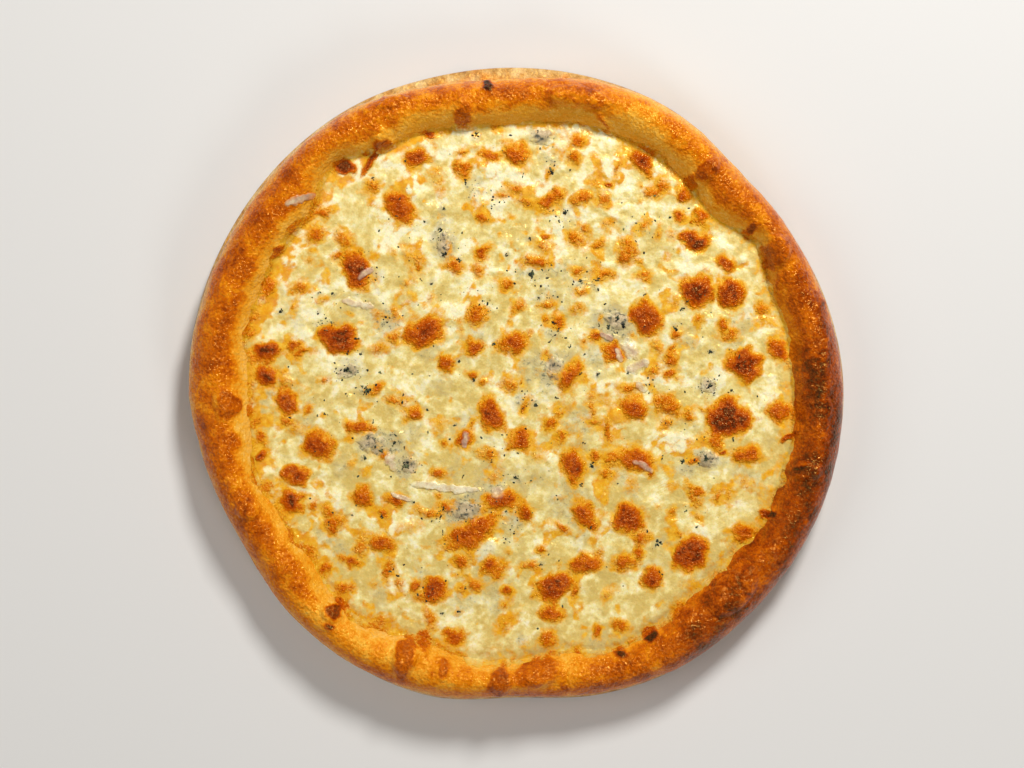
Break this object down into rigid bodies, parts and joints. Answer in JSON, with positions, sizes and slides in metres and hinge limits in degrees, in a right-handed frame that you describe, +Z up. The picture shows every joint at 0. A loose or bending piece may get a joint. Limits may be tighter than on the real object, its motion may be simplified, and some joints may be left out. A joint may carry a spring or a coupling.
{
  "type": "pan pizza",
  "caption": "Round uncut pan pizza: thick golden crust with a raised uneven rim, filled with melted cheese, toasted blisters, blue cheese crumbs and slivers of hard cheese.",
  "frame": {"origin": "on the surface it rests on, under the middle of its box", "axes": "+Z up through the topping; +X to the right and +Y away from a viewer who looks down on it with the widest stretch of the thin foot at the far side"},
  "size_m": [0.3101, 0.2993, 0.0294],
  "materials": {
    "baked_crust": "baked dough, golden orange, slightly glossy",
    "melted_cheese": "melted cheese, creamy yellow with browned blisters",
    "blue_cheese": "blue cheese, greyish cream with dark veins",
    "pale_cheese": "half-melted hard cheese, pale and waxy"
  },
  "bodies": {
    "root": {"crust": "baked_crust", "cheese": "melted_cheese", "blue_crumb_1": "blue_cheese", "blue_crumb_2": "blue_cheese", "blue_crumb_3": "blue_cheese", "blue_crumb_4": "blue_cheese", "blue_crumb_5": "blue_cheese", "blue_crumb_6": "blue_cheese", "blue_crumb_7": "blue_cheese", "blue_crumb_8": "blue_cheese", "blue_crumb_9": "blue_cheese", "blue_crumb_10": "blue_cheese", "white_lump_1": "pale_cheese", "white_lump_2": "pale_cheese", "white_lump_3": "pale_cheese", "sliver_1": "pale_cheese", "sliver_2": "pale_cheese", "sliver_3": "pale_cheese", "sliver_4": "pale_cheese", "sliver_5": "pale_cheese", "sliver_6": "pale_cheese", "sliver_7": "pale_cheese", "sliver_8": "pale_cheese"}
  },
  "joints": []
}
